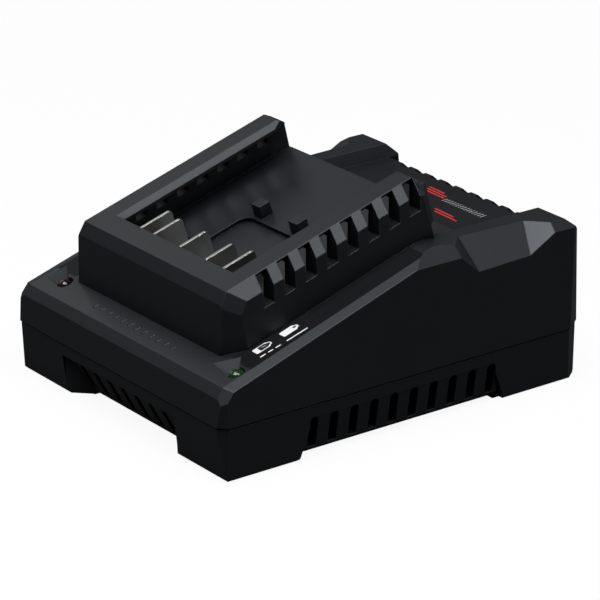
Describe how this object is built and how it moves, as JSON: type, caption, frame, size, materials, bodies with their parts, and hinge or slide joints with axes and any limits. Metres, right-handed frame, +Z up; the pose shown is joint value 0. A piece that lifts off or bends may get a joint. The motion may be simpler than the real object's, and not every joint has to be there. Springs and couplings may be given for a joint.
{
  "type": "power tool battery charger",
  "caption": "Bench charger for slide-on tool batteries: sloped two-part case with a raised, louvred dock, undercut rails, blade contacts, status lights and vented base.",
  "frame": {"origin": "centre of the bounding box at the level the feet stand on", "axes": "+Z up, +Y from the front with the lights and contacts to the rear with the cord inlet, +X to the right seen from the front"},
  "size_m": [0.114, 0.1436, 0.0744],
  "materials": {
    "upper_housing": "satin moulded black",
    "lower_housing": "satin moulded black",
    "contact_carrier": "matt glass-filled plastic",
    "contact_metal": "nickel-plated copper alloy",
    "indicator_strip": "printed glossy film",
    "green_lens": "clear tinted plastic",
    "red_lens": "clear tinted plastic",
    "green_led": "tinted epoxy",
    "red_led": "tinted epoxy",
    "board_laminate": "solder resist",
    "ferrite": "sintered ferrite",
    "winding_tape": "wrapped tape",
    "capacitor_sleeve": "shrink sleeve",
    "heat_sink": "extruded",
    "black_epoxy": "moulded epoxy",
    "white_epoxy": "moulded epoxy",
    "copper_winding": "enamelled wire",
    "yellow_box": "moulded box",
    "fuse_body": "plated caps",
    "terminal_green": "moulded",
    "gland_rubber": "soft matt",
    "clamp_steel": "zinc plated",
    "screw_steel": "zinc plated"
  },
  "bodies": {
    "root": {"upper_housing": "upper_housing", "lower_housing": "lower_housing", "contact_carrier": "contact_carrier", "negative_contact_blade": "contact_metal", "temperature_contact_blade": "contact_metal", "coding_contact_blade": "contact_metal", "balance_contact_blade": "contact_metal", "positive_contact_blade": "contact_metal", "indicator_strip": "indicator_strip", "green_light_pipe": "green_lens", "red_light_pipe": "red_lens", "green_led": "green_led", "red_led": "red_led", "circuit_board": "board_laminate", "transformer_core": "ferrite", "transformer_winding": "winding_tape", "input_capacitor": "capacitor_sleeve", "output_capacitors": "capacitor_sleeve", "primary_heat_sink": "heat_sink", "secondary_heat_sink": "heat_sink", "power_transistor": "black_epoxy", "output_diode": "black_epoxy", "line_choke": "copper_winding", "line_choke_base": "black_epoxy", "suppression_capacitor": "yellow_box", "fuse": "fuse_body", "bridge_rectifier": "black_epoxy", "controller_chip": "black_epoxy", "optocoupler": "white_epoxy", "mains_terminal": "terminal_green", "cord_gland": "gland_rubber", "cord_clamp": "clamp_steel", "cord_clamp_screws": "screw_steel", "housing_screws": "screw_steel", "circuit_board_screws": "screw_steel"}
  },
  "joints": []
}
